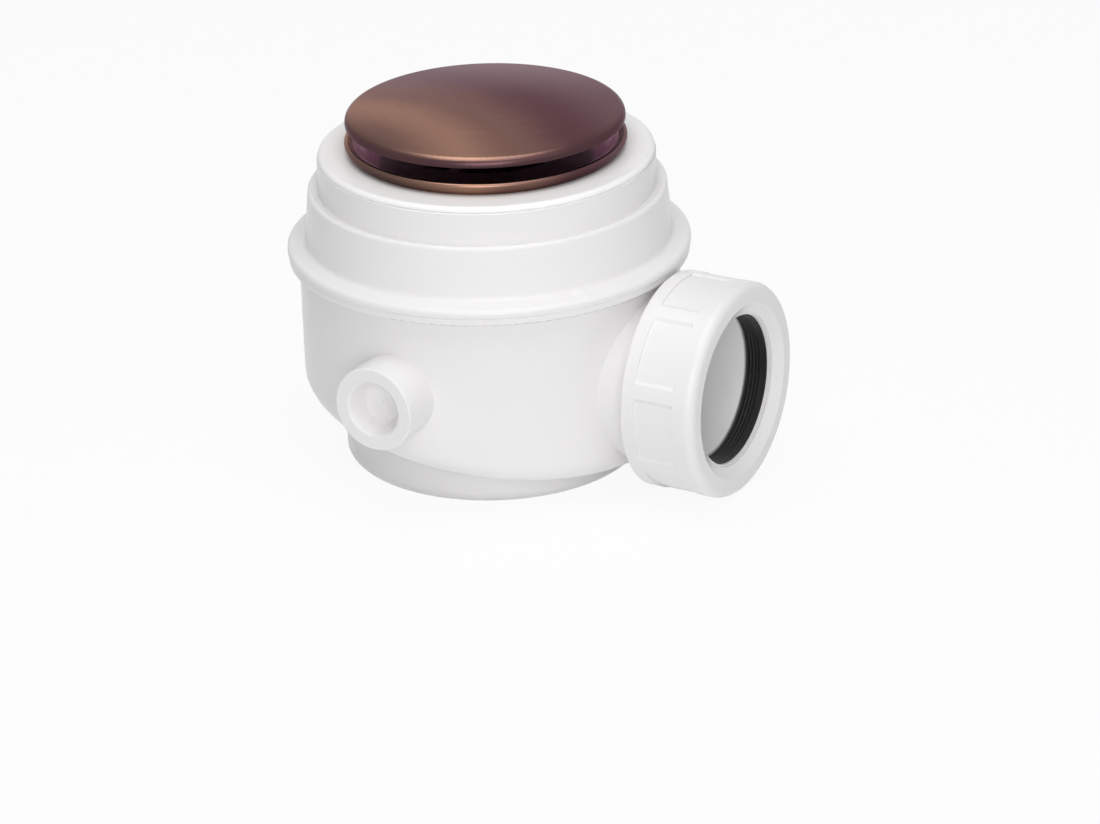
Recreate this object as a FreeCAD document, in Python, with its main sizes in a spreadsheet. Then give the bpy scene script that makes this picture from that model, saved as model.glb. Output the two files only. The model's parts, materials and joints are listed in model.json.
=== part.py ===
"""Bath trap with a press-to-close waste: a low moulded body with a water seal, and its outlet to the side.

Millimetres, +Z up. The origin is the centre of the flat base. The outlet points along +X and the
blanked side inlet along -Y.
"""

import FreeCAD, Part
import Sketcher
import math
import os

SIZES = {
    # Lower body: outer barrel, sloping floor and the central well that holds the water
    "wall": 2.5,
    "body_radius": 52.4,
    "seam_height": 60.4,
    "rim_overhang": 2.8,
    "rim_thickness": 2.2,
    "seam_round": 0.3,
    "floor_height": 14.8,
    "floor_slope": 9.6,
    "slope_overrun": 10.5,
    "floor_corner": 5.2,
    "well_radius": 41.6,
    "well_corner": 3.1,
    "well_mouth_rise": 10.0,
    "weir_height": 48.0,
    # Side outlet of the body
    "outlet_height": 30.5,
    "pipe_radius": 20.0,
    "neck_wall": 4.2,
    "thread_step": 0.4,
    "thread_length": 10.4,
    "outlet_length": 15.8,
    "socket_clearance": 0.1,
    # Blanked side inlet
    "blank_height": 34.9,
    "blank_radius": 11.75,
    "blank_length": 10.9,
    "blank_wall": 4.0,
    "blank_hole_depth": 8.9,
    "blank_edge": 0.5,
    # Upper housing
    "spigot_depth": 8.3,
    "spigot_clearance": 0.3,
    "spigot_wall": 2.4,
    "flare_overhang": 0.3,
    "flare_edge_height": 2.0,
    "flare_rise": 3.4,
    "flare_round": 1.2,
    "flare_fillet": 1.2,
    "cone_setback": 1.8,
    "cone_draft": 1.4,
    "cone_height": 18.0,
    "cone_round": 0.9,
    "step_drop": 0.7,
    "step_width": 2.85,
    "neck_ring_height": 8.4,
    "top_plate": 3.1,
    "tail_radius": 23.9,
    "tail_clearance": 0.25,
    "tail_socket_wall": 3.0,
    "tail_socket_depth": 19.2,
    "ledge_thickness": 2.5,
    "ledge_width": 1.55,
    "housing_ribs": 6,
    "housing_rib_thickness": 1.8,
    "housing_rib_depth": 9.0,
    # Seal ring between the two mouldings
    "ring_section": 0.9,
    "ring_gap": 0.06,
    "ring_groove_height": 2.1,
    # Gasket on top of the housing
    "gasket_inset": 0.25,
    "gasket_thickness": 1.65,
    "gasket_round": 1.25,
    "gasket_bore_gap": 1.1,
    # Metal waste flange
    "flange_undercut": 2.05,
    "flange_radius": 38.65,
    "flange_widest_rise": 2.5,
    "flange_height": 3.7,
    "flange_lip": 0.95,
    "flange_swell": 4.1,
    "flange_sheet": 1.25,
    "dish_floor_rise": 1.25,
    "tail_wall": 2.1,
    "tail_length": 13.0,
    "hub_wall": 1.9,
    "hub_bore": 6.3,
    "hub_length": 13.7,
    "hub_drop": 1.0,
    "spoke_count": 4,
    "spoke_width": 3.0,
    "spoke_depth": 5.0,
    # Dip tube and its washer
    "washer_thickness": 1.5,
    "collar_thickness": 1.8,
    "collar_clearance": 0.25,
    "tube_clearance": 0.4,
    "tube_wall": 1.8,
    "tube_end": 14.0,
    "tube_taper": 0.8,
    # Press-to-close latch
    "latch_clearance": 0.1,
    "latch_length": 30.4,
    "latch_floor": 1.6,
    "latch_chamber": 5.0,
    "latch_neck": 5.0,
    "latch_collar_reach": 1.5,
    "latch_collar": 1.2,
    "shaft_radius": 3.4,
    "shaft_gap": 0.12,
    "head_gap": 0.25,
    "head_height": 4.0,
    "stud_radius": 2.6,
    "stud_length": 4.0,
    "stud_gap": 0.1,
    "spring_wire": 0.45,
    "spring_radius": 3.9,
    "spring_turns": 8,
    # Cover and what it carries
    "plug_travel": 4.1,
    "cover_lift": 4.45,
    "cover_inset": 0.35,
    "cover_rim": 2.5,
    "cover_round": 2.4,
    "cover_crown": 2.2,
    "cover_sheet": 1.3,
    "cover_boss_radius": 5.5,
    "carrier_radius": 27.0,
    "carrier_web": 1.4,
    "carrier_lift": 0.6,
    "seal_reach": 2.6,
    "seal_thickness": 3.0,
    "seal_grip": 2.2,
    "seal_gap": 0.15,
    # Outlet nut, its slip ring and the ribbed seal
    "nut_wall": 4.75,
    "nut_overlap": 11.8,
    "nut_lip": 2.4,
    "nut_round": 2.5,
    "nut_back_round": 0.8,
    "nut_thread_gap": 0.3,
    "mouth_clearance": 1.3,
    "nut_mouth_width": 3.1,
    "nut_mouth_depth": 2.0,
    "recess_count": 8,
    "recess_depth": 0.55,
    "recess_angle": 33.8,
    "recess_splay": 1.8,
    "recess_turn": 7.2,
    "recess_start": 4.2,
    "recess_end": 5.9,
    "recess_corner": 0.5,
    "slip_ring_thickness": 0.9,
    "slip_clearance": 0.7,
    "seal_clearance": 0.35,
    "seal_length": 6.5,
    "seal_band": 2.3,
    "seal_ribs": 4,
    "seal_rib_depth": 0.7,
    "seat_gap": 0.1,
}


# How close an edge or face lies to where it is looked for
SAME_PLACE = 0.001


class Size:
    """A length or an angle, as a number and as the sheet formula that gives it."""

    def __init__(self, formula, number):
        self.formula = formula
        self.number = number

    def combined(self, sign, other, number):
        return Size(f"({self.formula} {sign} {formula_of(other)})", number)

    def __add__(self, other):
        return self.combined("+", other, self.number + number_of(other))

    def __sub__(self, other):
        return self.combined("-", other, self.number - number_of(other))

    def __mul__(self, other):
        return self.combined("*", other, self.number * number_of(other))

    def __truediv__(self, other):
        return self.combined("/", other, self.number / number_of(other))

    def __neg__(self):
        return Size(f"(0 - {self.formula})", -self.number)


def formula_of(value):
    return value.formula if isinstance(value, Size) else str(value)


def number_of(value):
    return value.number if isinstance(value, Size) else value


def square_root(value):
    return Size(f"sqrt({value.formula})", math.sqrt(value.number))


def tangent(angle):
    return Size(f"tan({angle.formula})", math.tan(math.radians(angle.number)))


def sine(angle):
    return Size(f"sin({angle.formula})", math.sin(math.radians(angle.number)))


def cosine(angle):
    return Size(f"cos({angle.formula})", math.cos(math.radians(angle.number)))


def side_of(long_side, short_side):
    """The other short side of a right triangle."""
    return square_root(long_side * long_side - short_side * short_side)


def cap_radius(half_width, rise):
    """Radius of the arc that rises by rise over half_width."""
    return (half_width * half_width + rise * rise) / (rise * 2)


class Sizes:
    """The spreadsheet of driving sizes, read as attributes."""

    def __init__(self, doc):
        self.sheet = doc.addObject("Spreadsheet::Sheet", "sizes")
        for row, (alias, number) in enumerate(SIZES.items(), start=1):
            self.sheet.set(f"A{row}", alias)
            self.sheet.set(f"B{row}", str(number))
            self.sheet.setAlias(f"B{row}", alias)

    def __getattr__(self, alias):
        return Size(f"sizes.{alias}", SIZES[alias])


doc = FreeCAD.newDocument("bath_trap")
s = Sizes(doc)
doc.recompute()

# Radii about the trap's axis that more than one piece uses
body_bore = s.body_radius - s.wall
rim_radius = s.body_radius + s.rim_overhang
flare_radius = rim_radius + s.flare_overhang
cone_foot_radius = s.body_radius - s.cone_setback
cone_top_radius = cone_foot_radius - s.cone_draft
neck_ring_radius = cone_top_radius - s.step_width
spigot_radius = body_bore - s.spigot_clearance
spigot_bore = spigot_radius - s.spigot_wall
ring_groove_radius = spigot_radius - s.ring_section * 2 + s.spigot_clearance - s.ring_gap * 2
gasket_radius = neck_ring_radius - s.gasket_inset
gasket_bore = s.tail_radius + s.gasket_bore_gap
tail_bore = s.tail_radius - s.tail_wall
socket_bore = s.tail_radius + s.tail_clearance
ledge_radius = socket_bore - s.ledge_width
flange_foot_radius = s.flange_radius - s.flange_undercut
cover_radius = s.flange_radius - s.cover_inset
seal_lip_radius = s.carrier_radius + s.seal_reach
hub_radius = s.hub_bore + s.hub_wall
latch_collar_radius = s.hub_bore + s.latch_collar_reach
head_radius = s.latch_chamber - s.head_gap

# Heights that more than one piece uses
ring_height = s.seam_height - s.spigot_depth / 2
cone_top_height = s.seam_height + s.cone_height
housing_top = cone_top_height + s.neck_ring_height
tail_socket_bottom = housing_top - s.tail_socket_depth
tail_end = housing_top - s.tail_length
gasket_top = housing_top + s.gasket_thickness
flange_top = gasket_top + s.flange_height
dish_floor = gasket_top + s.dish_floor_rise
ledge_top = tail_socket_bottom + s.ledge_thickness
collar_base = ledge_top + s.washer_thickness
hub_top = dish_floor - s.hub_drop
hub_bottom = dish_floor - s.hub_length
latch_bottom = dish_floor - s.latch_length
latch_top = hub_top + s.latch_collar
neck_base = latch_top - s.latch_neck
cover_base = flange_top + s.cover_lift
seal_base = dish_floor + s.plug_travel + s.seal_gap
carrier_base = seal_base + s.carrier_lift

# Radii about the outlet's axis, worked out from the pipe
socket_radius = s.pipe_radius + s.socket_clearance
seal_bore = s.pipe_radius + s.seal_clearance
slip_ring_bore = s.pipe_radius + s.slip_clearance
nut_mouth_radius = s.pipe_radius + s.mouth_clearance
neck_radius = socket_radius + s.neck_wall
thread_radius = neck_radius + s.thread_step
nut_radius = thread_radius + s.nut_thread_gap + s.nut_wall

# Places along the outlet and the blanked inlet
outlet_reach = s.body_radius + s.outlet_length
thread_start = outlet_reach - s.thread_length
nut_start = outlet_reach - s.nut_overlap
slip_ring_back = outlet_reach + s.seat_gap * 2 + s.seal_length
mouth_back = slip_ring_back + s.slip_ring_thickness + s.seat_gap
nut_face = mouth_back + s.nut_lip
blank_reach = s.body_radius + s.blank_length
blank_hole_radius = s.blank_radius - s.blank_wall


def bind(obj, name, value):
    """Ties one property to the sheet."""
    if isinstance(value, Size):
        obj.setExpression(name, value.formula)
    else:
        setattr(obj, name, value)


def new_body(name):
    body = doc.addObject("PartDesign::Body", name)
    body.Label = name
    return body


def new_sketch(body, name, role, offset=None):
    """A sketch on one of the body's own planes, moved along the plane's normal by offset."""
    sketch = body.newObject("Sketcher::SketchObject", f"{body.Name}_{name}")
    plane = next(item for item in body.Origin.OriginFeatures if item.Role == role)
    sketch.AttachmentSupport = [(plane, "")]
    sketch.MapMode = "FlatFace"
    if offset is not None:
        shift = FreeCAD.Vector(0, 0, number_of(offset))
        sketch.AttachmentOffset = FreeCAD.Placement(shift, FreeCAD.Rotation())
        sketch.setExpression("AttachmentOffset.Base.z", formula_of(offset))
    return sketch


def name_size(sketch, index, name, value):
    """Names a constraint and ties it to the sheet."""
    sketch.renameConstraint(index, name)
    if isinstance(value, Size):
        sketch.setExpression(f"Constraints.{name}", value.formula)


def place_point(sketch, edge, end, label, point):
    """Fixes one end of an edge at (x, y). A coordinate of None lies on that axis."""
    axes = (("DistanceX", point[0], -2), ("DistanceY", point[1], -1))
    for kind, value, axis in axes:
        if value is None:
            sketch.addConstraint(Sketcher.Constraint("PointOnObject", edge, end, axis))
        else:
            rule = Sketcher.Constraint(kind, -1, 1, edge, end, number_of(value))
            name_size(sketch, sketch.addConstraint(rule), f"{label}_{kind[-1]}", value)


def arc_between(start, end, radius):
    """An arc from start to end. A positive radius bulges to the right of the way, a negative to the left."""
    chord = end - start
    middle = (start + end) * 0.5
    reach = math.sqrt(max(radius * radius - chord.Length ** 2 / 4, 0))
    across = FreeCAD.Vector(-chord.y, chord.x, 0).normalize()
    turn = 1 if radius > 0 else -1
    centre = middle + across * reach * turn
    first, last = (start, end) if turn > 0 else (end, start)
    angles = [math.atan2(p.y - centre.y, p.x - centre.x) for p in (first, last)]
    circle = Part.Circle(centre, FreeCAD.Vector(0, 0, 1), abs(radius))
    return Part.ArcOfCircle(circle, angles[0], angles[1]), (1, 2) if turn > 0 else (2, 1)


def outline(sketch, corners):
    """A closed outline. Each corner is (x, y) or (x, y, radius of the arc that leaves it)."""
    numbers = [FreeCAD.Vector(number_of(c[0] or 0), number_of(c[1] or 0), 0) for c in corners]
    ends = []
    for i, corner in enumerate(corners):
        following = numbers[(i + 1) % len(corners)]
        if len(corner) == 3:
            curve, order = arc_between(numbers[i], following, number_of(corner[2]))
        else:
            curve, order = Part.LineSegment(numbers[i], following), (1, 2)
        ends.append((sketch.addGeometry(curve), order))
    for i, (edge, order) in enumerate(ends):
        after, after_order = ends[(i + 1) % len(ends)]
        sketch.addConstraint(Sketcher.Constraint("Coincident", edge, order[1], after, after_order[0]))
    for i, (edge, order) in enumerate(ends):
        place_point(sketch, edge, order[0], f"p{i}", corners[i])
        if len(corners[i]) == 3:
            radius = corners[i][2]
            if number_of(radius) < 0:
                radius = -radius
            rule = sketch.addConstraint(Sketcher.Constraint("Radius", edge, number_of(radius)))
            name_size(sketch, rule, f"p{i}_R", radius)


def revolved(body, name, corners, axis="V_Axis", cut=False):
    """Turns an outline in the XZ plane round the vertical axis, or round X with H_Axis."""
    sketch = new_sketch(body, f"{name}_outline", "XZ_Plane")
    outline(sketch, corners)
    feature = body.newObject("PartDesign::Groove" if cut else "PartDesign::Revolution", f"{body.Name}_{name}")
    feature.Profile = sketch
    feature.ReferenceAxis = (sketch, [axis])
    feature.Angle = 360
    return feature


def circle_sketch(body, name, role, centre_height, radius, offset):
    sketch = new_sketch(body, f"{name}_outline", role, offset)
    height = FreeCAD.Vector(0, number_of(centre_height), 0)
    circle = sketch.addGeometry(Part.Circle(height, FreeCAD.Vector(0, 0, 1), number_of(radius)))
    place_point(sketch, circle, 3, "centre", (None, centre_height))
    rule = sketch.addConstraint(Sketcher.Constraint("Radius", circle, number_of(radius)))
    name_size(sketch, rule, "radius", radius)
    return sketch


def cylinder_along(body, name, role, centre_height, radius, start, end, cut=False):
    """A round boss or hole along the plane's normal, from start to end."""
    sketch = circle_sketch(body, name, role, centre_height, radius, end if cut else start)
    feature = body.newObject("PartDesign::Pocket" if cut else "PartDesign::Pad", f"{body.Name}_{name}")
    feature.Profile = sketch
    bind(feature, "Length", end - start)
    return feature


def rounded(body, name, base, edges, radius):
    """Rounds the named edges of a feature."""
    feature = body.newObject("PartDesign::Fillet", f"{body.Name}_{name}")
    feature.Base = (base, edges)
    bind(feature, "Radius", radius)
    return feature


def patterned(body, name, feature, sketch, axis, count):
    """Repeats a feature round one of its sketch's axes."""
    pattern = body.newObject("PartDesign::PolarPattern", f"{body.Name}_{name}")
    pattern.Originals = [feature]
    pattern.Axis = (sketch, [axis])
    pattern.Angle = 360
    bind(pattern, "Occurrences", count)
    body.Tip = pattern
    doc.recompute()
    return pattern


def ring_edges(shape, places, along="z"):
    """Names of the round edges about an axis, each given as (radius, place along the axis)."""
    names = []
    for i, edge in enumerate(shape.Edges, start=1):
        if edge.Degenerated:
            continue
        curve = edge.Curve
        if not hasattr(curve, "Radius") or not hasattr(curve, "Center"):
            continue
        if abs(abs(getattr(curve.Axis, along)) - 1) > 1e-6:
            continue
        for radius, place in places:
            same_radius = abs(curve.Radius - number_of(radius)) < SAME_PLACE
            same_place = abs(getattr(curve.Center, along) - number_of(place)) < SAME_PLACE
            if same_radius and same_place:
                names.append(f"Edge{i}")
    return names


def make_lower_body():
    """Barrel with a floor that slopes to the outlet, a deep central well, the outlet and a blanked inlet."""
    body = new_body("lower_body")
    top = s.seam_height
    barrel = revolved(body, "barrel", [(None, None), (s.body_radius, None), (s.body_radius, top),
                                       (None, top)])
    doc.recompute()

    reach = s.body_radius + s.slope_overrun
    fall = tangent(s.floor_slope) * reach
    under = new_sketch(body, "under_floor", "XZ_Plane")
    low_side = s.floor_height - fall
    high_side = s.floor_height + fall
    outline(under, [(-reach, -reach), (reach, -reach), (reach, low_side), (-reach, high_side)])
    slope = body.newObject("PartDesign::Pocket", "lower_body_slope")
    slope.Profile = under
    slope.Midplane = True
    bind(slope, "Length", reach * 2)
    doc.recompute()

    ellipses = [f"Edge{i}" for i, e in enumerate(slope.Shape.Edges, start=1)
                if isinstance(e.Curve, (Part.Ellipse, Part.BSplineCurve))]
    corner = rounded(body, "floor_corner", slope, ellipses, s.floor_corner)
    doc.recompute()

    shell = body.newObject("PartDesign::Thickness", "lower_body_shell")
    lids = [f"Face{i}" for i, f in enumerate(corner.Shape.Faces, start=1)
            if abs(f.CenterOfMass.z - top.number) < SAME_PLACE]
    shell.Base = (corner, lids)
    shell.Reversed = True
    bind(shell, "Value", s.wall)
    doc.recompute()

    neck_start = side_of(s.body_radius, neck_radius) - s.blank_edge
    cylinder_along(body, "neck", "YZ_Plane", s.outlet_height, neck_radius, neck_start, outlet_reach)
    cylinder_along(body, "thread", "YZ_Plane", s.outlet_height, thread_radius, thread_start, outlet_reach)
    revolved(body, "barrel_bore", [(None, s.outlet_height), (body_bore, s.outlet_height), (body_bore, top),
                                   (None, top)], cut=True)
    cylinder_along(body, "socket", "YZ_Plane", s.outlet_height, socket_radius, body_bore / 2, outlet_reach,
                   cut=True)
    blank_start = side_of(s.body_radius, s.blank_radius) - s.blank_edge
    cylinder_along(body, "blank", "XZ_Plane", s.blank_height, s.blank_radius, blank_start, blank_reach)
    hole_end = blank_reach - s.blank_hole_depth
    cylinder_along(body, "blank_hole", "XZ_Plane", s.blank_height, blank_hole_radius, hole_end, blank_reach,
                   cut=True)

    rim_base = top - s.rim_thickness
    rim_root = s.body_radius - s.wall / 2
    revolved(body, "rim", [(rim_root, rim_base), (rim_radius, rim_base), (rim_radius, top), (rim_root, top)])
    well_bore = s.well_radius - s.wall
    well_mouth = s.floor_height + s.floor_corner + s.well_mouth_rise
    revolved(body, "well_mouth", [(None, None), (well_bore, None), (well_bore, well_mouth),
                                  (None, well_mouth)], cut=True)
    well = revolved(body, "well", [(None, None), (s.well_radius, None), (s.well_radius, s.weir_height),
                                   (well_bore, s.weir_height), (well_bore, s.wall), (None, s.wall)])
    doc.recompute()
    base = rounded(body, "well_corner", well, ring_edges(well.Shape, [(s.well_radius, 0)]), s.well_corner)
    doc.recompute()
    blank_face = -blank_reach
    edges = ring_edges(base.Shape, [(s.blank_radius, blank_face), (blank_hole_radius, blank_face)], "y")
    edges += ring_edges(base.Shape, [(rim_radius, rim_base)])
    eased = rounded(body, "edges", base, edges, s.blank_edge)
    doc.recompute()
    rounded(body, "seam_edge", eased, ring_edges(eased.Shape, [(rim_radius, top)]), s.seam_round)
    doc.recompute()
    return body


def make_upper_housing():
    """Flared top that plugs into the body, with the socket for the waste's tail hung under its top plate."""
    body = new_body("upper_housing")
    flare_edge = s.seam_height + s.flare_edge_height
    cone_foot = s.seam_height + s.flare_rise
    step_height = cone_top_height - s.step_drop
    plate_under = housing_top - s.top_plate
    socket_outer = socket_bore + s.tail_socket_wall
    spigot_end = s.seam_height - s.spigot_depth
    groove_half = s.ring_groove_height / 2
    corners = [
        (spigot_radius, spigot_end),
        (spigot_radius, ring_height - groove_half),
        (ring_groove_radius, ring_height - groove_half),
        (ring_groove_radius, ring_height + groove_half),
        (spigot_radius, ring_height + groove_half),
        (spigot_radius, s.seam_height),
        (flare_radius, s.seam_height),
        (flare_radius, flare_edge),
        (cone_foot_radius, cone_foot),
        (cone_top_radius, cone_top_height),
        (neck_ring_radius, step_height),
        (neck_ring_radius, housing_top),
        (socket_bore, housing_top),
        (socket_bore, ledge_top),
        (ledge_radius, ledge_top),
        (ledge_radius, tail_socket_bottom),
        (socket_outer, tail_socket_bottom),
        (socket_outer, plate_under),
        (neck_ring_radius - s.wall, plate_under),
        (neck_ring_radius - s.wall, step_height - s.wall),
        (cone_top_radius - s.wall, step_height - s.wall),
        (spigot_bore, cone_foot),
        (spigot_bore, spigot_end),
    ]
    shell = revolved(body, "shell", corners)
    doc.recompute()

    rib_outer = neck_ring_radius - s.wall / 2
    rib_inner = socket_outer - s.tail_socket_wall / 2
    rib_top = plate_under + s.top_plate / 2
    sketch = new_sketch(body, "rib_outline", "XZ_Plane")
    outline(sketch, [(rib_inner, plate_under - s.housing_rib_depth), (rib_outer, plate_under - s.wall),
                     (rib_outer, rib_top), (rib_inner, rib_top)])
    rib = body.newObject("PartDesign::Pad", "upper_housing_rib")
    rib.Profile = sketch
    rib.Midplane = True
    bind(rib, "Length", s.housing_rib_thickness)
    doc.recompute()
    ribs = patterned(body, "ribs", rib, sketch, "V_Axis", s.housing_ribs)
    hollow = rounded(body, "flare_fillet", ribs, ring_edges(ribs.Shape, [(cone_foot_radius, cone_foot)]),
                     s.flare_fillet)
    doc.recompute()
    flare = rounded(body, "flare_round", hollow, ring_edges(hollow.Shape, [(flare_radius, flare_edge)]),
                    s.flare_round)
    doc.recompute()
    cone = rounded(body, "cone_round", flare, ring_edges(flare.Shape, [(cone_top_radius, cone_top_height)]),
                   s.cone_round)
    doc.recompute()
    seams = [(flare_radius, s.seam_height), (neck_ring_radius, housing_top)]
    rounded(body, "seam_edges", cone, ring_edges(cone.Shape, seams), s.seam_round)
    doc.recompute()
    return body


def make_ring(name, radius, section, height):
    """A round-section seal ring."""
    ring = doc.addObject("Part::Torus", name)
    ring.Label = name
    bind(ring, "Radius1", radius)
    bind(ring, "Radius2", section)
    ring.setExpression("Placement.Base.z", formula_of(height))
    return ring


def make_top_gasket():
    """Soft flat ring under the waste flange, with a rounded outer edge."""
    body = new_body("top_gasket")
    flat = revolved(body, "ring", [(gasket_bore, housing_top), (gasket_radius, housing_top),
                                   (gasket_radius, gasket_top), (gasket_bore, gasket_top)])
    doc.recompute()
    top = rounded(body, "edge", flat, ring_edges(flat.Shape, [(gasket_radius, gasket_top)]), s.gasket_round)
    doc.recompute()
    rounded(body, "seam_edge", top, ring_edges(top.Shape, [(gasket_radius, housing_top)]), s.seam_round)
    return body


def make_waste_flange():
    """Turned metal dish with a rolled lip, a threaded tail, and a hub on spokes."""
    body = new_body("waste_flange")
    widest = gasket_top + s.flange_widest_rise
    lip_base = flange_top - s.flange_lip
    lip_inner = s.flange_radius - s.flange_lip * 2
    dish_radius = flange_foot_radius - s.flange_sheet
    corners = [
        (tail_bore, tail_end),
        (s.tail_radius, tail_end),
        (s.tail_radius, gasket_top),
        (flange_foot_radius, gasket_top, s.flange_swell),
        (s.flange_radius, widest),
        (s.flange_radius, lip_base, s.flange_lip),
        (lip_inner, lip_base),
        (dish_radius, dish_floor + s.flange_sheet),
        (dish_radius - s.flange_sheet, dish_floor),
        (s.tail_radius, dish_floor),
        (tail_bore, dish_floor - s.flange_sheet),
    ]
    revolved(body, "dish", corners)
    doc.recompute()
    revolved(body, "hub", [(s.hub_bore, hub_bottom), (hub_radius, hub_bottom),
                           (hub_radius, hub_top), (s.hub_bore, hub_top)])
    sketch = new_sketch(body, "spoke_outline", "XZ_Plane")
    spoke_top = dish_floor - s.flange_sheet * 2
    inner = hub_radius - s.tail_wall / 2
    outer = tail_bore + s.tail_wall / 2
    outline(sketch, [(inner, spoke_top - s.spoke_depth), (outer, spoke_top - s.spoke_depth),
                     (outer, spoke_top), (inner, spoke_top)])
    spoke = body.newObject("PartDesign::Pad", "waste_flange_spoke")
    spoke.Profile = sketch
    spoke.Midplane = True
    bind(spoke, "Length", s.spoke_width)
    doc.recompute()
    patterned(body, "spokes", spoke, sketch, "V_Axis", s.spoke_count)
    return body


def make_dip_tube():
    """Lift-out tube that hangs from the housing's ledge and ends under water in the well."""
    body = new_body("dip_tube")
    outer = ledge_radius - s.tube_clearance
    collar = socket_bore - s.collar_clearance
    collar_top = collar_base + s.collar_thickness
    foot = outer - s.tube_taper
    revolved(body, "tube", [
        (foot - s.tube_wall, s.tube_end),
        (foot, s.tube_end),
        (outer, tail_socket_bottom),
        (outer, collar_base),
        (collar, collar_base),
        (collar, collar_top),
        (outer - s.tube_wall, collar_top),
        (outer - s.tube_wall, tail_socket_bottom),
    ])
    return body


def make_dip_tube_seal():
    """Flat rubber washer between the dip tube's collar and the ledge."""
    body = new_body("dip_tube_seal")
    outer = socket_bore - s.collar_clearance
    revolved(body, "washer", [(ledge_radius, ledge_top), (outer, ledge_top),
                              (outer, collar_base), (ledge_radius, collar_base)])
    return body


def make_latch_housing():
    """Sleeve in the flange's hub, with a chamber for the spring and a neck that guides the shaft."""
    body = new_body("latch_housing")
    outer = s.hub_bore - s.latch_clearance
    neck_bore = s.shaft_radius + s.shaft_gap
    revolved(body, "sleeve", [
        (None, latch_bottom),
        (outer, latch_bottom),
        (outer, hub_top),
        (latch_collar_radius, hub_top),
        (latch_collar_radius, latch_top),
        (neck_bore, latch_top),
        (neck_bore, neck_base),
        (s.latch_chamber, neck_base),
        (s.latch_chamber, latch_bottom + s.latch_floor),
        (None, latch_bottom + s.latch_floor),
    ])
    return body


def make_latch_shaft():
    """Sliding shaft: a head in the chamber, and a shoulder and stud that carry the cover."""
    body = new_body("latch_shaft")
    head_top = neck_base - s.seat_gap
    revolved(body, "shaft", [
        (None, head_top - s.head_height),
        (head_radius, head_top - s.head_height),
        (head_radius, head_top),
        (s.shaft_radius, head_top),
        (s.shaft_radius, carrier_base),
        (s.stud_radius, carrier_base),
        (s.stud_radius, carrier_base + s.stud_length),
        (None, carrier_base + s.stud_length),
    ])
    return body


def half_turns(radius, height, turns):
    """Centre line of a coil, as half turns in tilted planes that meet in line."""
    rise = height / (turns * 2)
    stops = []
    for i in range(turns * 2 + 1):
        side = 1 if i % 2 == 0 else -1
        stops.append(FreeCAD.Vector(radius * side, 0, rise * i))
    arcs = []
    for i, (low, high) in enumerate(zip(stops, stops[1:])):
        side = 1 if i % 2 == 0 else -1
        middle = (low + high) * 0.5 + FreeCAD.Vector(0, (high - low).Length / 2 * side, 0)
        arcs.append(Part.Arc(low, middle, high).toShape())
    return Part.Wire(arcs)


def make_latch_spring():
    """Coil spring between the chamber's floor and the shaft's head."""
    floor = latch_bottom + s.latch_floor
    spring_base = floor + s.spring_wire
    spring_top = neck_base - s.seat_gap - s.head_height - s.spring_wire
    coil = doc.addObject("Part::Feature", "spring_coil")
    coil.Shape = half_turns(s.spring_radius.number, (spring_top - spring_base).number, SIZES["spring_turns"])
    wire = doc.addObject("Part::Circle", "spring_wire")
    bind(wire, "Radius", s.spring_wire)
    wire.Placement = FreeCAD.Placement(FreeCAD.Vector(), FreeCAD.Rotation(FreeCAD.Vector(1, 0, 0), 90))
    wire.setExpression("Placement.Base.x", s.spring_radius.formula)
    doc.recompute()
    spring = doc.addObject("Part::Sweep", "latch_spring")
    spring.Label = "latch_spring"
    spring.Sections = [wire]
    spring.Spine = (coil, [f"Edge{i}" for i in range(1, len(coil.Shape.Edges) + 1)])
    spring.Solid = True
    spring.Frenet = True
    spring.setExpression("Placement.Base.z", spring_base.formula)
    return spring


def make_dome_cover():
    """Crowned metal cover that rolls over at its edge, and a boss that screws on the shaft's stud."""
    body = new_body("dome_cover")
    rim_top = cover_base + s.cover_rim
    rim_inner = cover_radius - s.cover_round
    crown = cap_radius(cover_radius, s.cover_crown)
    boss_base = carrier_base + s.carrier_web
    boss_root = rim_top + s.cover_crown - s.cover_sheet
    stud_hole = s.stud_radius + s.stud_gap
    hole_top = carrier_base + s.stud_length + s.stud_gap
    under_edge = rim_inner - s.cover_sheet
    under_crown = cap_radius(under_edge, s.cover_crown)
    boss_sag = s.cover_boss_radius * s.cover_boss_radius / (under_crown * 2)
    corners = [
        (None, hole_top),
        (stud_hole, hole_top),
        (stud_hole, boss_base),
        (s.cover_boss_radius, boss_base),
        (s.cover_boss_radius, boss_root - boss_sag, -under_crown),
        (under_edge, rim_top - s.cover_sheet),
        (rim_inner, cover_base),
        (cover_radius, cover_base),
        (cover_radius, rim_top, crown),
        (None, rim_top + s.cover_crown),
    ]
    cap = revolved(body, "cap", corners)
    doc.recompute()
    rounded(body, "rim_round", cap, ring_edges(cap.Shape, [(cover_radius, rim_top)]), s.cover_round)
    return body


def make_seal_carrier():
    """Disc clamped between the shaft's shoulder and the cover's boss, with the seal on its edge."""
    body = new_body("seal_carrier")
    bore = s.stud_radius + s.stud_gap
    top = carrier_base + s.carrier_web
    revolved(body, "disc", [(bore, carrier_base), (s.carrier_radius, carrier_base),
                            (s.carrier_radius, top), (bore, top)])
    return body


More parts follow.
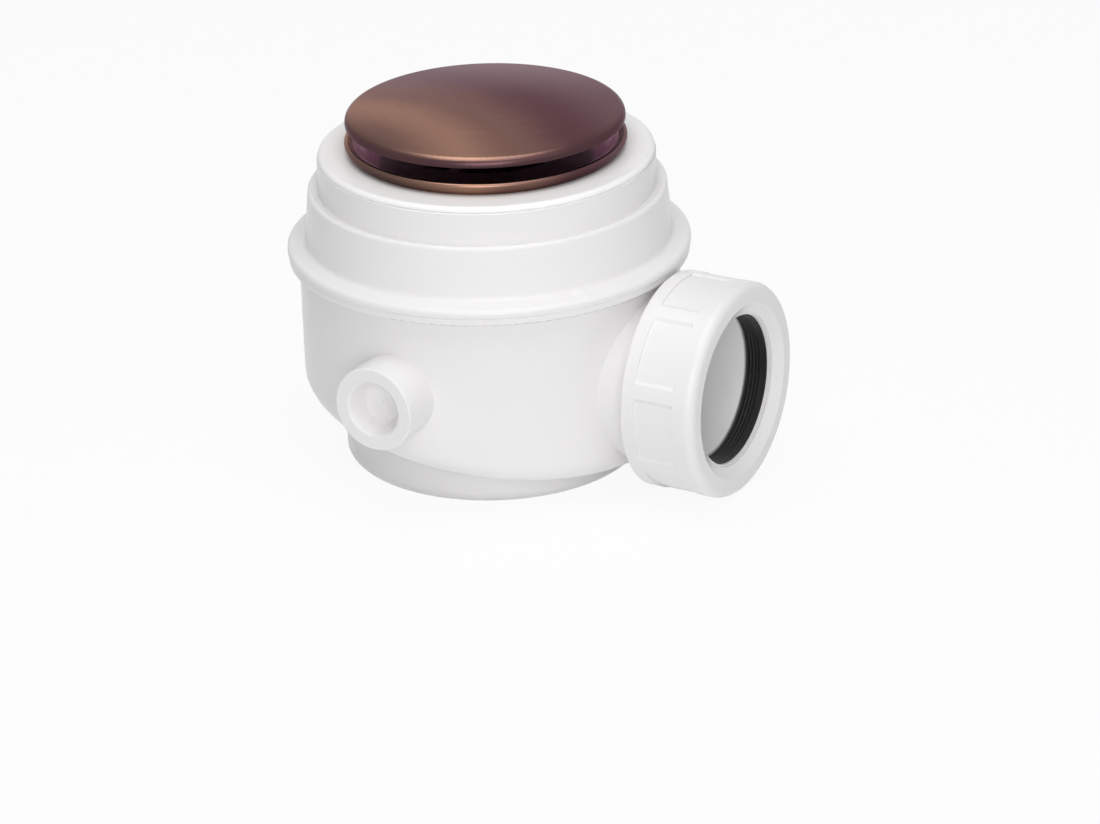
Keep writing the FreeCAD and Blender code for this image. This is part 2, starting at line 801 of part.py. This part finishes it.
def make_plug_seal():
    """Rubber ring that grips the carrier's edge and closes on the dish."""
    body = new_body("plug_seal")
    grip = s.carrier_radius - s.seal_grip
    lower = carrier_base - s.seat_gap / 2
    upper = carrier_base + s.carrier_web + s.seat_gap / 2
    top = seal_base + s.seal_thickness
    groove = s.carrier_radius + s.seat_gap / 2
    revolved(body, "lip", [
        (grip, seal_base),
        (seal_lip_radius - s.seal_grip / 2, seal_base),
        (seal_lip_radius, seal_base + s.carrier_lift),
        (groove + s.carrier_lift, top),
        (grip, top),
        (grip, upper),
        (groove, upper),
        (groove, lower),
        (grip, lower),
    ])
    return body


def on_outlet(body):
    """Sets a piece that was modelled about X on the outlet's axis."""
    body.setExpression("Placement.Base.z", s.outlet_height.formula)
    doc.recompute()
    return body


def recess_corner_edges(shape):
    """Names of the short straight edges at the corners of the nut's recesses."""
    longest = s.recess_depth.number * 4
    names = []
    for i, edge in enumerate(shape.Edges, start=1):
        across_axis = isinstance(edge.Curve, Part.Line) and abs(edge.Curve.Direction.x) < SAME_PLACE
        if across_axis and edge.Length < longest:
            names.append(f"Edge{i}")
    return names


def make_outlet_nut():
    """Compression nut: a plain skirt with shallow hand recesses round it, and a sloping mouth in front."""
    body = new_body("outlet_nut")
    bore = thread_radius + s.nut_thread_gap
    mouth_outer = nut_mouth_radius + s.nut_mouth_width
    skirt = revolved(body, "skirt", [
        (nut_start, bore),
        (mouth_back, bore),
        (mouth_back, nut_mouth_radius),
        (nut_face - s.nut_mouth_depth, nut_mouth_radius),
        (nut_face, mouth_outer),
        (nut_face, nut_radius),
        (nut_start, nut_radius),
    ], "H_Axis")
    doc.recompute()
    front = rounded(body, "front_round", skirt, ring_edges(skirt.Shape, [(nut_radius, nut_face)], "x"),
                    s.nut_round)
    doc.recompute()
    rounded(body, "back_round", front, ring_edges(front.Shape, [(nut_radius, nut_start)], "x"),
            s.nut_back_round)
    doc.recompute()

    recess_start = nut_start + s.recess_start
    recess_end = nut_face - s.recess_end
    sketch = new_sketch(body, "recess_outline", "YZ_Plane", recess_end)
    low = s.recess_turn - s.recess_angle / 2
    high = s.recess_turn + s.recess_angle / 2
    floor = nut_radius - s.recess_depth
    outside = nut_radius + s.recess_depth
    low_outside = low - s.recess_splay * 2
    high_outside = high + s.recess_splay * 2
    outline(sketch, [
        (cosine(low) * floor, sine(low) * floor),
        (cosine(low_outside) * outside, sine(low_outside) * outside, outside),
        (cosine(high_outside) * outside, sine(high_outside) * outside),
        (cosine(high) * floor, sine(high) * floor, -floor),
    ])
    recess = body.newObject("PartDesign::Pocket", "outlet_nut_recess")
    recess.Profile = sketch
    bind(recess, "Length", recess_end - recess_start)
    doc.recompute()
    recesses = patterned(body, "recesses", recess, sketch, "N_Axis", s.recess_count)
    rounded(body, "recess_corners", recesses, recess_corner_edges(recesses.Shape), s.recess_corner)
    return on_outlet(body)


def make_slip_ring():
    """Thin ring that lets the nut turn without dragging the seal."""
    body = new_body("slip_ring")
    front = slip_ring_back + s.slip_ring_thickness
    outer = thread_radius - s.nut_thread_gap
    revolved(body, "ring", [(slip_ring_back, slip_ring_bore), (front, slip_ring_bore),
                            (front, outer), (slip_ring_back, outer)], "H_Axis")
    return on_outlet(body)


def make_outlet_seal():
    """Rubber pipe seal: a plain band at the mouth and fine ribs behind it."""
    body = new_body("outlet_seal")
    back = outlet_reach + s.seat_gap
    front = back + s.seal_length
    outer = thread_radius - s.nut_thread_gap
    rib_count = SIZES["seal_ribs"]
    rib_pitch = (s.seal_length - s.seal_band) / rib_count
    valley = seal_bore + s.seal_rib_depth
    corners = [(back, outer), (back, valley)]
    for i in range(rib_count):
        corners.append((back + rib_pitch * (i + 0.5), seal_bore))
        corners.append((back + rib_pitch * (i + 1), valley))
    corners += [(back + rib_pitch * (rib_count + 0.25), seal_bore), (front, seal_bore), (front, outer)]
    revolved(body, "ribbed_ring", corners, "H_Axis")
    return on_outlet(body)


def write_parts(nodes):
    """Checks every object and writes each piece to its own file."""
    doc.recompute()
    failed = [o.Label for o in doc.Objects if "Invalid" in o.State or "Error" in o.State]
    failed += [o.Label for o in nodes if o.Shape.isNull() or not o.Shape.isValid()]
    if failed:
        raise RuntimeError(f"failed: {failed}")
    os.makedirs("parts", exist_ok=True)
    for node in nodes:
        node.Shape.exportStep(f"parts/{node.Label}.step")
        print(node.Label, len(node.Shape.Solids), round(node.Shape.Volume, 1))


NODES = [
    make_lower_body(),
    make_upper_housing(),
    make_ring("housing_seal", ring_groove_radius + s.ring_gap + s.ring_section, s.ring_section, ring_height),
    make_top_gasket(),
    make_waste_flange(),
    make_dip_tube(),
    make_dip_tube_seal(),
    make_latch_housing(),
    make_latch_shaft(),
    make_latch_spring(),
    make_dome_cover(),
    make_seal_carrier(),
    make_plug_seal(),
    make_outlet_nut(),
    make_slip_ring(),
    make_outlet_seal(),
]
write_parts(NODES)
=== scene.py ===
import json
import math

import bmesh
import bpy
from mathutils import Matrix, Quaternion, Vector


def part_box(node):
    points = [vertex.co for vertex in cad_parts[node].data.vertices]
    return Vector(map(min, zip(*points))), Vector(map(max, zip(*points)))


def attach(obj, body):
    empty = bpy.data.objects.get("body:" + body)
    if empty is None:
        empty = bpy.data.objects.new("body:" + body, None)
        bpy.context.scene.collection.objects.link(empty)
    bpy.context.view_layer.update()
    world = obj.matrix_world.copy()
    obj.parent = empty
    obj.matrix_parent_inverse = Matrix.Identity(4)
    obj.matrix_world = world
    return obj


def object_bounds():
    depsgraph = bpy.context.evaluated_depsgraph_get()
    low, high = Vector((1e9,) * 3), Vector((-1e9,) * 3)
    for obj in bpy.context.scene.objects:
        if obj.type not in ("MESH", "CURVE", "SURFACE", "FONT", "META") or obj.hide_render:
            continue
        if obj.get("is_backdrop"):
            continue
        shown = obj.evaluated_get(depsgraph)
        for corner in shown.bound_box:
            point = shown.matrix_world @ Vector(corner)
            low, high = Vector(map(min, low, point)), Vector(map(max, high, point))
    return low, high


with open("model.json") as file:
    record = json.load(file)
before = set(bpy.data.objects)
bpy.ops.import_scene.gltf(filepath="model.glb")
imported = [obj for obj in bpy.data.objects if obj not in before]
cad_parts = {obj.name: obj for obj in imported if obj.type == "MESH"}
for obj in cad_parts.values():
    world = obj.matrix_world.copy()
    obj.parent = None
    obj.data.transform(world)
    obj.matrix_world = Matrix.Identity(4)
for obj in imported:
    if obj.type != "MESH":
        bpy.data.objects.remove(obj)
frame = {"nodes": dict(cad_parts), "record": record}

CAD_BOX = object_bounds()
MM = 0.001

# Camera, worked out from the round rims in the photograph
PHOTO_WIDTH = 1100
PHOTO_HEIGHT = 824
FOCAL_PIXELS = 4632.0
PIXELS_PER_MM = 3.63
TARGET_PIXEL = (495.5, 239.9)
TARGET_HEIGHT = 60.22 * MM
CAMERA_ELEVATION = math.radians(21.86)
CAMERA_ROLL = math.radians(-2.01)
CAMERA_TURN = math.radians(31.14)
SENSOR_WIDTH = 36.0

# Light: the world's strength, how white the floor shows, the height that the lamps aim at, and each
# lamp's azimuth, elevation, distance, side and power
WORLD_LIGHT = 0.2
FLOOR_WHITENESS = 0.92
FLOOR_HALF = 4.0
LAMP_TARGET_HEIGHT = 50 * MM
LAMPS = (
    ("key_lamp", 70, 40, 1.1, 0.9, 1.36),
    ("top_lamp", 20, 80, 1.0, 0.9, 5.8),
    ("front_lamp", 31, 18, 1.3, 0.8, 5.85),
)

# Copper plate with painted light and shade. A painted highlight streak lies on it along part of a circle,
# and each tone here, from painted highlight to painted dark reflection, has its distance in millimetres
# outside that circle. Noise lets the tones wander. Towards the back a painted pale reflection comes over
# them, the cover's edge has painted shade, and the inside of the waste has painted light.
PAINTED_STREAK_CENTRE = (-31.9 * MM, -77.1 * MM, 0)
PAINTED_STREAK_RADIUS = 65.9
PAINTED_STREAK_WANDER = 5
PAINTED_REFLECTION_TONES = (
    (-22, (0.10, 0.06, 0.05)),
    (-3, (0.30, 0.17, 0.12)),
    (10, (0.18, 0.10, 0.08)),
    (28, (0.085, 0.04, 0.045)),
    (50, (0.13, 0.08, 0.085)),
)
# painted pale reflection towards the back of the copper
PAINTED_SHEEN_COPPER = (0.50, 0.42, 0.50)
PAINTED_SHEEN_WAY = (-0.517, 0.856, 0.0)
PAINTED_SHEEN_REACH = 38 * MM
PAINTED_SHEEN_SHARE = 0.2
# painted shade on the cover's rim, between two radii and above a height
PAINTED_SHADE_COPPER = (0.075, 0.038, 0.042)
# painted light inside the waste, below a height and within a radius
PAINTED_LIGHT_COPPER = (0.52, 0.32, 0.42)
PAINTED_SHADE_RINGS = (37.0 * MM, 38.1 * MM)
EDGE_BOTTOM = 93 * MM
INNER_RADIUS = 36.3 * MM
INNER_TOP = 98.4 * MM

# Places on the trap that the small details and the bore's painted light need
BLANK_HEIGHT = 34.9 * MM
BLANK_FACE = 63.3 * MM
OUTLET_HEIGHT = 30.5 * MM
BORE_RADIUS = 20.6 * MM
BORE_START = 30 * MM

# Bowl in the blanked inlet: depth and radius in millimetres, from inside the boss's wall to the middle
RECESS_PROFILE = (
    (0.35, 8.10),
    (0.50, 7.62),
    (0.75, 7.42),
    (1.10, 7.30),
    (3.20, 6.66),
    (5.10, 6.08),
    (5.60, 5.86),
    (6.00, 5.50),
    (6.28, 5.00),
    (6.42, 4.40),
    (6.55, 3.00),
    (6.64, 1.60),
)
RECESS_DEPTH = 6.68 * MM
RECESS_STEPS = 96

# Gate pips: radius and height, and the place of the nut's one
BLANK_PIP = (0.9 * MM, 0.35 * MM)
NUT_PIP = (0.7 * MM, 0.3 * MM)
NUT_PIP_SINK = 0.35 * MM
NUT_PIP_SIDE = -25.3 * MM

# Masks that leave out the way along an upright line, and along the outlet
ACROSS_UPRIGHT = (1, 1, 0)
ACROSS_OUTLET = (0, 1, 1)


def make_camera():
    """The photograph's camera: aimed at a point on the trap's axis that lies off the picture's centre."""
    distance = FOCAL_PIXELS / PIXELS_PER_MM * MM
    back = Vector((0, -math.cos(CAMERA_ELEVATION), math.sin(CAMERA_ELEVATION)))
    right = Vector((1, 0, 0))
    up = back.cross(right)
    place = back * distance
    pan = math.atan2(TARGET_PIXEL[0] - PHOTO_WIDTH / 2, FOCAL_PIXELS)
    tilt = math.atan2(PHOTO_HEIGHT / 2 - TARGET_PIXEL[1], FOCAL_PIXELS)
    axes = [right, up, back]
    for axis, angle in ((1, pan), (0, -tilt), (2, CAMERA_ROLL)):
        turn = Quaternion(axes[axis], angle)
        axes = [turn @ v for v in axes]
    round_z = Quaternion((0, 0, 1), CAMERA_TURN)
    axes = [round_z @ v for v in axes]
    camera = bpy.data.objects.new("camera", bpy.data.cameras.new("camera"))
    camera.data.sensor_width = SENSOR_WIDTH
    camera.data.lens = FOCAL_PIXELS * SENSOR_WIDTH / PHOTO_WIDTH
    camera.data.clip_start = 0.05
    camera.data.clip_end = 30
    matrix = Matrix(axes).transposed().to_4x4()
    matrix.translation = round_z @ place + Vector((0, 0, TARGET_HEIGHT))
    camera.matrix_world = matrix
    bpy.context.scene.collection.objects.link(camera)
    bpy.context.scene.camera = camera


class Nodes:
    """Short calls for building one material's nodes."""

    def __init__(self, name):
        self.material = bpy.data.materials.new(name)
        self.material.use_nodes = True
        self.tree = self.material.node_tree
        self.shader = self.tree.nodes["Principled BSDF"]

    def add(self, kind, **settings):
        node = self.tree.nodes.new(kind)
        for name, value in settings.items():
            setattr(node, name, value)
        return node

    def link(self, source, target):
        self.tree.links.new(source, target)

    def place(self):
        """Object coordinates, which are the row frame's metres."""
        return self.add("ShaderNodeTexCoord").outputs["Object"]

    def noise(self, place, scale, detail=3.0):
        node = self.add("ShaderNodeTexNoise")
        node.inputs["Scale"].default_value = scale
        node.inputs["Detail"].default_value = detail
        self.link(place, node.inputs["Vector"])
        return node.outputs["Fac"]

    def mix(self, factor, first, second):
        """The colour between two others. Each is a plain colour or the output of a node."""
        node = self.add("ShaderNodeMix", data_type="RGBA")
        self.link(factor, node.inputs["Factor"])
        for colour, name in ((first, "A"), (second, "B")):
            if isinstance(colour, tuple):
                node.inputs[name].default_value = (*colour, 1)
            else:
                self.link(colour, node.inputs[name])
        return node.outputs["Result"]

    def blend_colours(self, factor, first, second):
        self.link(self.mix(factor, first, second), self.shader.inputs["Base Color"])

    def work_out(self, operation, first, second):
        """One sum. Each term is a number or the output of a node."""
        node = self.add("ShaderNodeMath", operation=operation)
        for term, socket in zip((first, second), node.inputs):
            if isinstance(term, (int, float)):
                socket.default_value = term
            else:
                self.link(term, socket)
        return node.outputs["Value"]

    def rise(self, value, low, high):
        """0 below low, 1 above high, and smooth in between."""
        node = self.add("ShaderNodeMapRange", interpolation_type="SMOOTHSTEP")
        node.inputs["From Min"].default_value = low
        node.inputs["From Max"].default_value = high
        self.link(value, node.inputs["Value"])
        return node.outputs["Result"]

    def from_line(self, place, point, across):
        """Distance from the line through a point. The mask across leaves out the line's own way."""
        offset = self.add("ShaderNodeVectorMath", operation="SUBTRACT")
        offset.inputs[1].default_value = point
        self.link(place, offset.inputs[0])
        masked = self.add("ShaderNodeVectorMath", operation="MULTIPLY")
        masked.inputs[1].default_value = across
        self.link(offset.outputs["Vector"], masked.inputs[0])
        length = self.add("ShaderNodeVectorMath", operation="LENGTH")
        self.link(masked.outputs["Vector"], length.inputs[0])
        return length.outputs["Value"]

    def along(self, place, way):
        """How far a place lies along a direction."""
        node = self.add("ShaderNodeVectorMath", operation="DOT_PRODUCT")
        node.inputs[1].default_value = way
        self.link(place, node.inputs[0])
        return node.outputs["Value"]

    def tones(self, value, stops):
        """The colour of the stop that a value has reached, blended with its neighbour's."""
        first, last = stops[0][0], stops[-1][0]
        share = self.add("ShaderNodeMapRange")
        share.inputs["From Min"].default_value = first
        share.inputs["From Max"].default_value = last
        self.link(value, share.inputs["Value"])
        ramp = self.add("ShaderNodeValToRGB")
        ramp.color_ramp.interpolation = "EASE"
        elements = ramp.color_ramp.elements
        for place, colour in stops[1:-1]:
            elements.new((place - first) / (last - first)).color = (*colour, 1)
        elements[0].color = (*stops[0][1], 1)
        elements[-1].color = (*stops[-1][1], 1)
        self.link(share.outputs["Result"], ramp.inputs["Fac"])
        return ramp.outputs["Color"]

    def roughness_between(self, factor, low, high):
        node = self.add("ShaderNodeMapRange")
        node.inputs["To Min"].default_value = low
        node.inputs["To Max"].default_value = high
        self.link(factor, node.inputs["Value"])
        self.link(node.outputs["Result"], self.shader.inputs["Roughness"])

    def bump(self, height, distance, strength):
        node = self.add("ShaderNodeBump")
        node.inputs["Distance"].default_value = distance
        node.inputs["Strength"].default_value = strength
        self.link(height, node.inputs["Height"])
        self.link(node.outputs["Normal"], self.shader.inputs["Normal"])

    def turned_place(self, place, radial, angular):
        """Coordinates that run round the trap's axis, for marks left by turning and brushing."""
        parts = self.add("ShaderNodeSeparateXYZ")
        self.link(place, parts.inputs["Vector"])
        radius = self.from_line(place, (0, 0, 0), ACROSS_UPRIGHT)
        angle = self.work_out("ARCTAN2", parts.outputs["Y"], parts.outputs["X"])
        joined = self.add("ShaderNodeCombineXYZ")
        sources = ((radius, radial), (angle, angular), (parts.outputs["Z"], radial))
        for (source, factor), target in zip(sources, "XYZ"):
            self.link(self.work_out("MULTIPLY", source, factor), joined.inputs[target])
        return joined.outputs["Vector"]


def moulded_plastic():
    """White moulding: faintly cloudy, softly rippled, and lighter in the bore as painted light."""
    n = Nodes("white_plastic")
    place = n.place()
    wall = n.mix(n.noise(place, scale=22), (0.885, 0.872, 0.876), (0.862, 0.849, 0.853))
    off_axis = n.from_line(place, (0, 0, OUTLET_HEIGHT), ACROSS_OUTLET)
    near_axis = n.work_out("LESS_THAN", off_axis, BORE_RADIUS)
    past_start = n.work_out("GREATER_THAN", n.along(place, (1, 0, 0)), BORE_START)
    bore = n.work_out("MULTIPLY", near_axis, past_start)
    # painted light: the bore is drawn lighter than the rest of the wall
    n.blend_colours(bore, wall, (0.975, 0.965, 0.968))
    n.roughness_between(n.noise(place, scale=90), low=0.2, high=0.3)
    n.bump(n.noise(place, scale=240, detail=1), distance=0.05 * MM, strength=0.08)
    n.shader.inputs["Specular IOR Level"].default_value = 0.3
    n.shader.inputs["Coat Weight"].default_value = 0.06
    n.shader.inputs["Coat Roughness"].default_value = 0.12
    return n.material


def soft_gasket():
    """Satin white rubber."""
    n = Nodes("white_rubber")
    place = n.place()
    n.blend_colours(n.noise(place, scale=40), (0.98, 0.97, 0.965), (0.96, 0.95, 0.945))
    n.roughness_between(n.noise(place, scale=300), low=0.4, high=0.52)
    n.bump(n.noise(place, scale=1500, detail=2), distance=0.03 * MM, strength=0.4)
    return n.material


def brushed_copper():
    """Antique copper plate: a painted highlight and painted dark reflections, a painted pale reflection at
    the back, painted shade on the cover's rim, fine brushed rings, and painted light inside the waste.
    """
    n = Nodes("copper_finish")
    place = n.place()
    rings = n.noise(n.turned_place(place, radial=2600, angular=5), scale=1, detail=4)
    cloud = n.work_out("MULTIPLY", n.noise(place, scale=45, detail=2), PAINTED_STREAK_WANDER)
    brushing = n.noise(n.turned_place(place, radial=420, angular=1.2), scale=1, detail=3)
    brushed = n.work_out("MULTIPLY", brushing, PAINTED_STREAK_WANDER)
    from_centre = n.work_out("DIVIDE", n.from_line(place, PAINTED_STREAK_CENTRE, ACROSS_UPRIGHT), MM)
    wandering = n.work_out("ADD", from_centre, n.work_out("ADD", cloud, brushed))
    # painted highlight and painted dark reflections, as tones by distance from a circle
    painted_streak = n.work_out("SUBTRACT", wandering, PAINTED_STREAK_RADIUS + PAINTED_STREAK_WANDER)
    radius = n.from_line(place, (0, 0, 0), ACROSS_UPRIGHT)
    height = n.along(place, (0, 0, 1))
    # painted reflection: a pale sheen rising towards the back of the cover
    painted_sheen = n.work_out("MULTIPLY", n.rise(n.along(place, PAINTED_SHEEN_WAY), 0, PAINTED_SHEEN_REACH), PAINTED_SHEEN_SHARE)
    # painted shade: the cover's rounded rim drawn darker
    on_cover = n.work_out("GREATER_THAN", height, EDGE_BOTTOM)
    edge = n.work_out("MULTIPLY", n.rise(radius, *PAINTED_SHADE_RINGS), on_cover)
    # painted light: the inside of the waste drawn brighter
    within = n.work_out("LESS_THAN", radius, INNER_RADIUS)
    inner = n.work_out("MULTIPLY", within, n.work_out("LESS_THAN", height, INNER_TOP))
    plate = n.mix(painted_sheen, n.tones(painted_streak, PAINTED_REFLECTION_TONES), PAINTED_SHEEN_COPPER)
    plate = n.mix(edge, plate, PAINTED_SHADE_COPPER)
    n.blend_colours(inner, plate, PAINTED_LIGHT_COPPER)
    n.roughness_between(rings, low=0.2, high=0.3)
    n.bump(rings, distance=0.01 * MM, strength=0.2)
    n.shader.inputs["Metallic"].default_value = 1
    n.shader.inputs["Specular Tint"].default_value = (0.70, 0.60, 0.62, 1)
    n.shader.inputs["Anisotropic"].default_value = 0.55
    tangent = n.add("ShaderNodeTangent", direction_type="RADIAL", axis="Z")
    n.link(tangent.outputs["Tangent"], n.shader.inputs["Tangent"])
    return n.material


def turned_metal(name, light, dark):
    """Plain turned metal with fine tool marks."""
    n = Nodes(name)
    marks = n.noise(n.turned_place(n.place(), radial=3200, angular=3), scale=1, detail=4)
    n.blend_colours(marks, light, dark)
    n.roughness_between(marks, low=0.22, high=0.4)
    n.bump(marks, distance=0.02 * MM, strength=0.4)
    n.shader.inputs["Metallic"].default_value = 1
    return n.material


def dark_matt(name, first, second, low, high):
    """Dark rubber or plastic with a fine moulded grain."""
    n = Nodes(name)
    place = n.place()
    n.blend_colours(n.noise(place, scale=120), first, second)
    n.roughness_between(n.noise(place, scale=500), low, high)
    n.bump(n.noise(place, scale=2500, detail=3), distance=0.03 * MM, strength=0.5)
    return n.material


def dress_frame():
    """Gives each CAD node the finish of its slot in the record."""
    finishes = {
        "white_plastic": moulded_plastic(),
        "white_rubber": soft_gasket(),
        "copper_finish": brushed_copper(),
        "brass": turned_metal("brass", (0.75, 0.60, 0.32), (0.62, 0.48, 0.25)),
        "spring_steel": turned_metal("spring_steel", (0.64, 0.65, 0.67), (0.52, 0.53, 0.55)),
        "grey_plastic": dark_matt("grey_plastic", (0.22, 0.22, 0.23), (0.18, 0.18, 0.19), 0.45, 0.6),
        "black_rubber": dark_matt("black_rubber", (0.015, 0.014, 0.015), (0.009, 0.009, 0.010), 0.38, 0.52),
    }
    for part in frame["record"]["subparts"]:
        mesh = frame["nodes"][part["node"]].data
        mesh.materials.clear()
        mesh.materials.append(finishes[part["material_slot"]])
    return finishes


def gate_pip(name, place, out, radius, height, finish):
    """The low mark that the mould's gate leaves: a small dome on a face that looks along out."""
    mesh = bpy.data.meshes.new(name)
    shape = bmesh.new()
    bmesh.ops.create_icosphere(shape, subdivisions=3, radius=radius)
    bmesh.ops.scale(shape, vec=(1, 1, height / radius), verts=shape.verts)
    shape.to_mesh(mesh)
    shape.free()
    mesh.shade_smooth()
    pip = bpy.data.objects.new(name, mesh)
    pip.matrix_world = Matrix.Translation(place) @ Vector(out).to_track_quat("Z", "Y").to_matrix().to_4x4()
    mesh.materials.append(finish)
    bpy.context.scene.collection.objects.link(pip)
    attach(pip, "trap")


def recess_rings(shape):
    """The rings of vertices that RECESS_PROFILE makes when it is turned about the blanked inlet's axis."""
    angles = [2 * math.pi * step / RECESS_STEPS for step in range(RECESS_STEPS)]
    for depth, radius in RECESS_PROFILE:
        back = depth * MM - BLANK_FACE
        ring = []
        for angle in angles:
            across, up = radius * math.cos(angle) * MM, radius * math.sin(angle) * MM
            ring.append(shape.verts.new((across, back, BLANK_HEIGHT + up)))
        yield ring


def add_recess_lining(finish):
    """The bowl that the blanked inlet shows: a tapering wall and a dished floor, inside the plain hole."""
    shape = bmesh.new()
    rings = list(recess_rings(shape))
    middle = shape.verts.new((0, RECESS_DEPTH - BLANK_FACE, BLANK_HEIGHT))
    for step in range(RECESS_STEPS):
        after = (step + 1) % RECESS_STEPS
        for outer, inner in zip(rings, rings[1:]):
            shape.faces.new((outer[step], outer[after], inner[after], inner[step]))
        shape.faces.new((rings[-1][step], rings[-1][after], middle))
    mesh = bpy.data.meshes.new("recess_lining")
    shape.to_mesh(mesh)
    shape.free()
    mesh.shade_smooth()
    mesh.materials.append(finish)
    lining = bpy.data.objects.new("recess_lining", mesh)
    bpy.context.scene.collection.objects.link(lining)
    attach(lining, "trap")


def add_details(finishes):
    """The lining of the blanked inlet, and one gate pip on its floor and one on the nut's face."""
    plastic = finishes["white_plastic"]
    add_recess_lining(plastic)
    blank_place = Vector((0, RECESS_DEPTH - BLANK_FACE, BLANK_HEIGHT))
    gate_pip("blank_gate", blank_place, (0, -1, 0), *BLANK_PIP, plastic)
    nut_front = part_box("outlet_nut")[1].x
    nut_place = Vector((nut_front - NUT_PIP_SINK, NUT_PIP_SIDE, OUTLET_HEIGHT))
    gate_pip("nut_gate", nut_place, (1, 0, 0), *NUT_PIP, plastic)


def seen_rays(tree):
    """1 for rays from the camera and in reflections and glass, and 0 for the rays that carry light."""
    path = tree.nodes.new("ShaderNodeLightPath")
    seen = path.outputs["Is Camera Ray"]
    for name in ("Is Glossy Ray", "Is Transmission Ray"):
        either = tree.nodes.new("ShaderNodeMath")
        either.operation = "MAXIMUM"
        tree.links.new(seen, either.inputs[0])
        tree.links.new(path.outputs[name], either.inputs[1])
        seen = either.outputs["Value"]
    return seen


def camera_white(tree, surface):
    """Shows a surface as plain white to the camera and in reflections, and keeps some of its shading."""
    white = tree.nodes.new("ShaderNodeEmission")
    white.inputs["Strength"].default_value = 1
    share = tree.nodes.new("ShaderNodeMath")
    share.operation = "MULTIPLY"
    share.inputs[1].default_value = FLOOR_WHITENESS
    tree.links.new(seen_rays(tree), share.inputs[0])
    mix = tree.nodes.new("ShaderNodeMixShader")
    tree.links.new(share.outputs["Value"], mix.inputs[0])
    tree.links.new(surface, mix.inputs[1])
    tree.links.new(white.outputs["Emission"], mix.inputs[2])
    tree.links.new(mix.outputs["Shader"], tree.nodes["Material Output"].inputs["Surface"])


def make_floor():
    mesh = bpy.data.meshes.new("floor")
    half = FLOOR_HALF
    corners = [(-half, -half, 0), (half, -half, 0), (half, half, 0), (-half, half, 0)]
    mesh.from_pydata(corners, [], [(0, 1, 2, 3)])
    floor = bpy.data.objects.new("floor", mesh)
    bpy.context.scene.collection.objects.link(floor)
    material = bpy.data.materials.new("floor")
    material.use_nodes = True
    shader = material.node_tree.nodes["Principled BSDF"]
    shader.inputs["Base Color"].default_value = (0.9, 0.9, 0.9, 1)
    shader.inputs["Roughness"].default_value = 0.9
    camera_white(material.node_tree, shader.outputs["BSDF"])
    mesh.materials.append(material)
    floor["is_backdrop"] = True


def make_world():
    """Even pale light all round, which the camera and reflections see as white."""
    world = bpy.data.worlds.new("studio")
    world.use_nodes = True
    bpy.context.scene.world = world
    tree = world.node_tree
    strength = tree.nodes.new("ShaderNodeMapRange")
    strength.inputs["To Min"].default_value = WORLD_LIGHT
    strength.inputs["To Max"].default_value = 1.0
    tree.links.new(seen_rays(tree), strength.inputs["Value"])
    tree.links.new(strength.outputs["Result"], tree.nodes["Background"].inputs["Strength"])
    tree.nodes["Background"].inputs["Color"].default_value = (1, 1, 1, 1)


def soft_lamp(name, azimuth, elevation, distance, size, power):
    """A square soft box, aimed at the trap. Azimuth 0 stands at -Y, and 90 at +X."""
    lamp = bpy.data.objects.new(name, bpy.data.lights.new(name, "AREA"))
    lamp.data.shape = "SQUARE"
    lamp.data.size = size
    lamp.data.energy = power
    around, above = math.radians(azimuth), math.radians(elevation)
    out = Vector((math.sin(around) * math.cos(above), -math.cos(around) * math.cos(above), math.sin(above)))
    target = Vector((0, 0, LAMP_TARGET_HEIGHT))
    lamp.location = target + out * distance
    lamp.rotation_euler = out.to_track_quat("Z", "Y").to_euler()
    bpy.context.scene.collection.objects.link(lamp)


def light_studio():
    for lamp in LAMPS:
        soft_lamp(*lamp)


bpy.context.scene.view_settings.view_transform = "Standard"
add_details(dress_frame())
make_floor()
make_world()
light_studio()
make_camera()

boxes = {"cad": CAD_BOX, "scene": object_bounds()}
{name: [list(corner) for corner in box] for name, box in boxes.items()}
